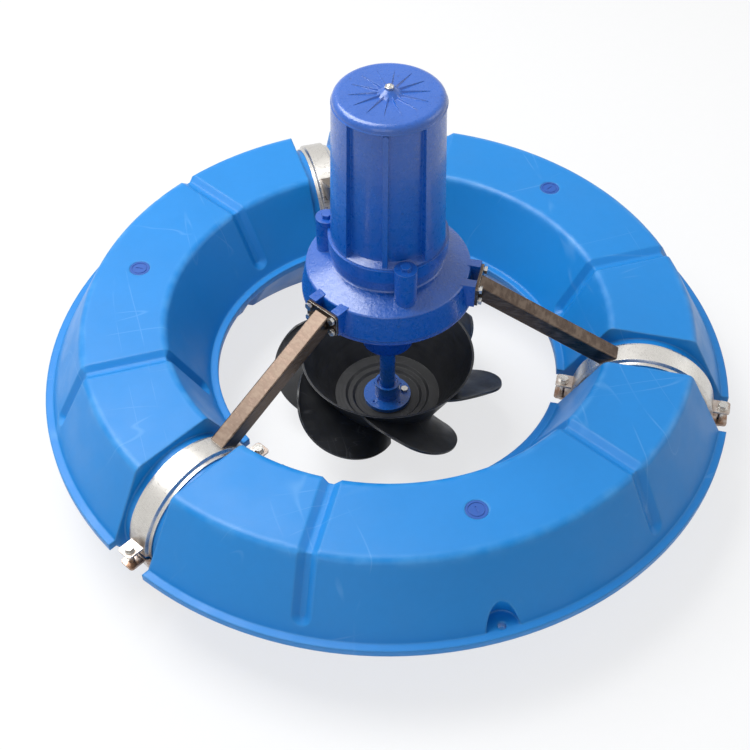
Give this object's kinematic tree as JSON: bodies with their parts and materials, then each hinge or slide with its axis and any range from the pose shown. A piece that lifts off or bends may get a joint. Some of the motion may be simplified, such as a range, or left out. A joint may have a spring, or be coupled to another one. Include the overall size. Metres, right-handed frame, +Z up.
{
  "type": "solar pond aerator",
  "caption": "Floating pond aerator: a segmented ring float carries a geared vertical motor on steel arms, which turns a bladed bowl impeller in the open middle.",
  "frame": {"origin": "on the ring's axis, at the underside of the floats", "axes": "+Z up along the drive's axis; the front float segment is centred on -Y and one clamp is on +Y"},
  "size_m": [1.3, 1.2997, 0.771],
  "materials": {
    "float_blue": "moulded blue polyethylene, soft sheen",
    "plug_plastic": "moulded dark blue plastic",
    "seal_rubber": "black rubber",
    "stainless": "brushed stainless steel",
    "bolt_steel": "plain stainless steel",
    "cast_blue": "blue enamel on rough casting",
    "shaft_blue": "blue enamel on turned steel",
    "gear_steel": "machined steel",
    "bearing_steel": "ground bearing steel",
    "core_steel": "laminated steel",
    "winding_copper": "varnished copper wire",
    "impeller_black": "black moulded nylon",
    "gland_plastic": "black nylon"
  },
  "bodies": {
    "frame": {"arm_left": "stainless", "arm_plate_left": "stainless", "arm_plate_rear": "stainless", "arm_plate_right": "stainless", "arm_rear": "stainless", "arm_right": "stainless", "cable_gland": "gland_plastic", "cap_nut": "bolt_steel", "counter_bearing_lower": "bearing_steel", "counter_bearing_upper": "bearing_steel", "cover_bolts": "bolt_steel", "cover_gasket": "seal_rubber", "filler_plugs": "plug_plastic", "float_front": "float_blue", "float_left": "float_blue", "float_right": "float_blue", "gearbox_case": "cast_blue", "gearbox_cover": "cast_blue", "gland_nut": "gland_plastic", "hoop_bolts": "bolt_steel", "hoop_lower_left": "stainless", "hoop_lower_rear": "stainless", "hoop_lower_right": "stainless", "hoop_nuts": "bolt_steel", "hoop_upper_left": "stainless", "hoop_upper_rear": "stainless", "hoop_upper_right": "stainless", "motor_bearing_lower": "bearing_steel", "motor_bearing_upper": "bearing_steel", "motor_bolts": "cast_blue", "motor_cover": "cast_blue", "oil_drain_plug": "bolt_steel", "oil_fill_plug": "bolt_steel", "output_bearing_lower": "bearing_steel", "output_bearing_upper": "bearing_steel", "output_seal": "seal_rubber", "plate_bolts": "bolt_steel", "plug_seals": "seal_rubber", "stator_core": "core_steel", "stator_windings": "winding_copper"},
    "impeller": {"blade_1": "impeller_black", "blade_2": "impeller_black", "blade_3": "impeller_black", "blade_4": "impeller_black", "blade_5": "impeller_black", "blade_6": "impeller_black", "hub": "shaft_blue", "hub_lock_bolt": "bolt_steel", "hub_nuts": "bolt_steel", "hub_screws": "shaft_blue", "impeller_bowl": "impeller_black", "output_shaft": "shaft_blue", "output_wheel": "gear_steel"},
    "countershaft": {"counter_shaft": "gear_steel", "counter_wheel": "gear_steel", "counter_pinion": "gear_steel"},
    "rotor": {"rotor_shaft": "gear_steel", "rotor_core": "core_steel", "motor_pinion": "gear_steel"}
  },
  "joints": [
    {"name": "impeller_spin", "type": "hinge", "parent": "frame", "child": "impeller", "pos_m": [0, 0, 0.1], "axis": [0, 0, 1], "continuous": true},
    {"name": "countershaft_spin", "type": "hinge", "parent": "frame", "child": "countershaft", "pos_m": [0, 0.07, 0.36], "axis": [0, 0, 1], "continuous": true},
    {"name": "rotor_spin", "type": "hinge", "parent": "frame", "child": "rotor", "pos_m": [0, 0, 0.55], "axis": [0, 0, 1], "continuous": true}
  ],
  "couplings": [
    {"joint": "countershaft_spin", "follows": "impeller_spin", "ratio": -4},
    {"joint": "rotor_spin", "follows": "impeller_spin", "ratio": 16}
  ]
}
